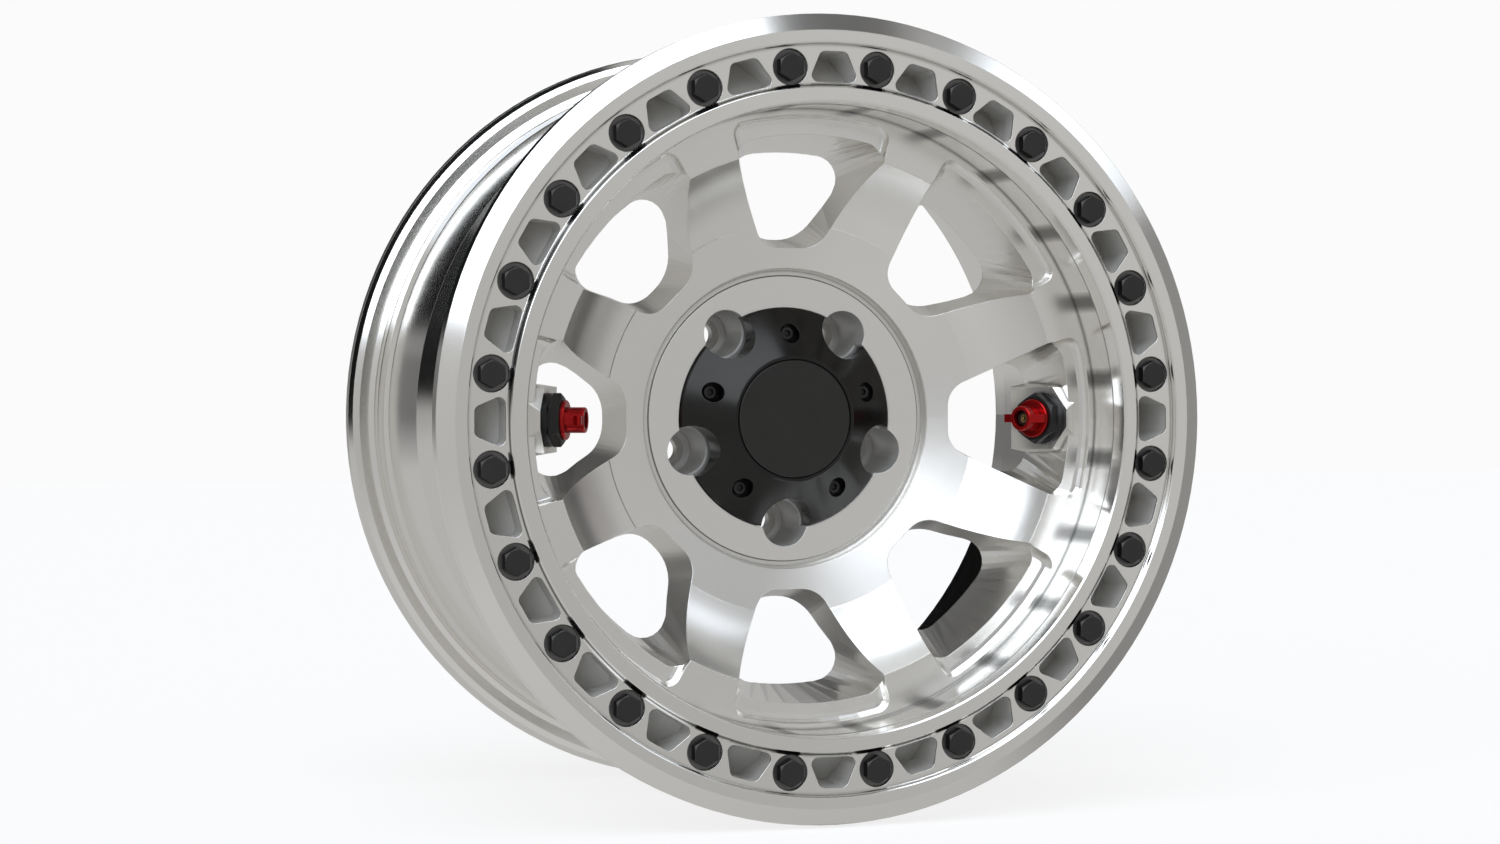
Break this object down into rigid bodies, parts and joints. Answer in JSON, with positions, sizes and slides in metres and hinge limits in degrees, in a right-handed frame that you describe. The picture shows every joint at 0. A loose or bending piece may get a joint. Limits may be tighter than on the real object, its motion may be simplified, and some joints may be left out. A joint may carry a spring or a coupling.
{
  "type": "beadlock_wheel",
  "caption": "Machined aluminium off-road wheel with a bolted bead clamp ring, spoke windows, a black centre cap and red quick-release tyre valves.",
  "frame": {"origin": "Centre of the hub bore on the face that meets the vehicle's hub.", "axes": "+Z is the wheel's axis and points to its front, +X is right and +Y is up in the picture."},
  "size_m": [0.4739, 0.474, 0.2561],
  "materials": {
    "machined_aluminium": "satin machined",
    "black_steel": "black oxide",
    "grey_steel": "plain grey",
    "black_coat": "satin black",
    "red_anodised": "anodised red",
    "rubber": "matt",
    "brass": "plain"
  },
  "bodies": {
    "rim": {"wheel": "machined_aluminium", "bead_ring": "machined_aluminium", "ring_bolts": "black_steel", "ring_washers": "grey_steel", "center_cap": "black_coat", "cap_disc": "black_coat", "cap_screws": "black_steel", "valve_body_a": "black_coat", "valve_seal_a": "rubber", "snap_ring_a": "black_steel", "valve_core_a": "brass", "valve_body_b": "black_coat", "valve_seal_b": "rubber", "snap_ring_b": "black_steel", "valve_core_b": "brass"},
    "collar_a": {"valve_knob_a": "red_anodised"},
    "collar_b": {"valve_knob_b": "red_anodised"},
    "pin_a": {"core_pin_a": "brass"},
    "pin_b": {"core_pin_b": "brass"}
  },
  "joints": [
    {"name": "collar_a_turn", "type": "hinge", "parent": "rim", "child": "collar_a", "pos_m": [-9.55512, 0, 5.25369], "axis": [-0.8829, 0, 0.4695], "range_deg": [0, 90]},
    {"name": "collar_b_turn", "type": "hinge", "parent": "rim", "child": "collar_b", "pos_m": [9.55512, 0, 5.25369], "axis": [0.8829, 0, 0.4695], "range_deg": [0, 90]},
    {"name": "pin_a_slide", "type": "slide", "parent": "rim", "child": "pin_a", "axis": [0.8829, 0, -0.4695], "range_m": [0, 0.001], "stiffness_N_per_m": 400},
    {"name": "pin_b_slide", "type": "slide", "parent": "rim", "child": "pin_b", "axis": [-0.8829, 0, -0.4695], "range_m": [0, 0.001], "stiffness_N_per_m": 400}
  ]
}
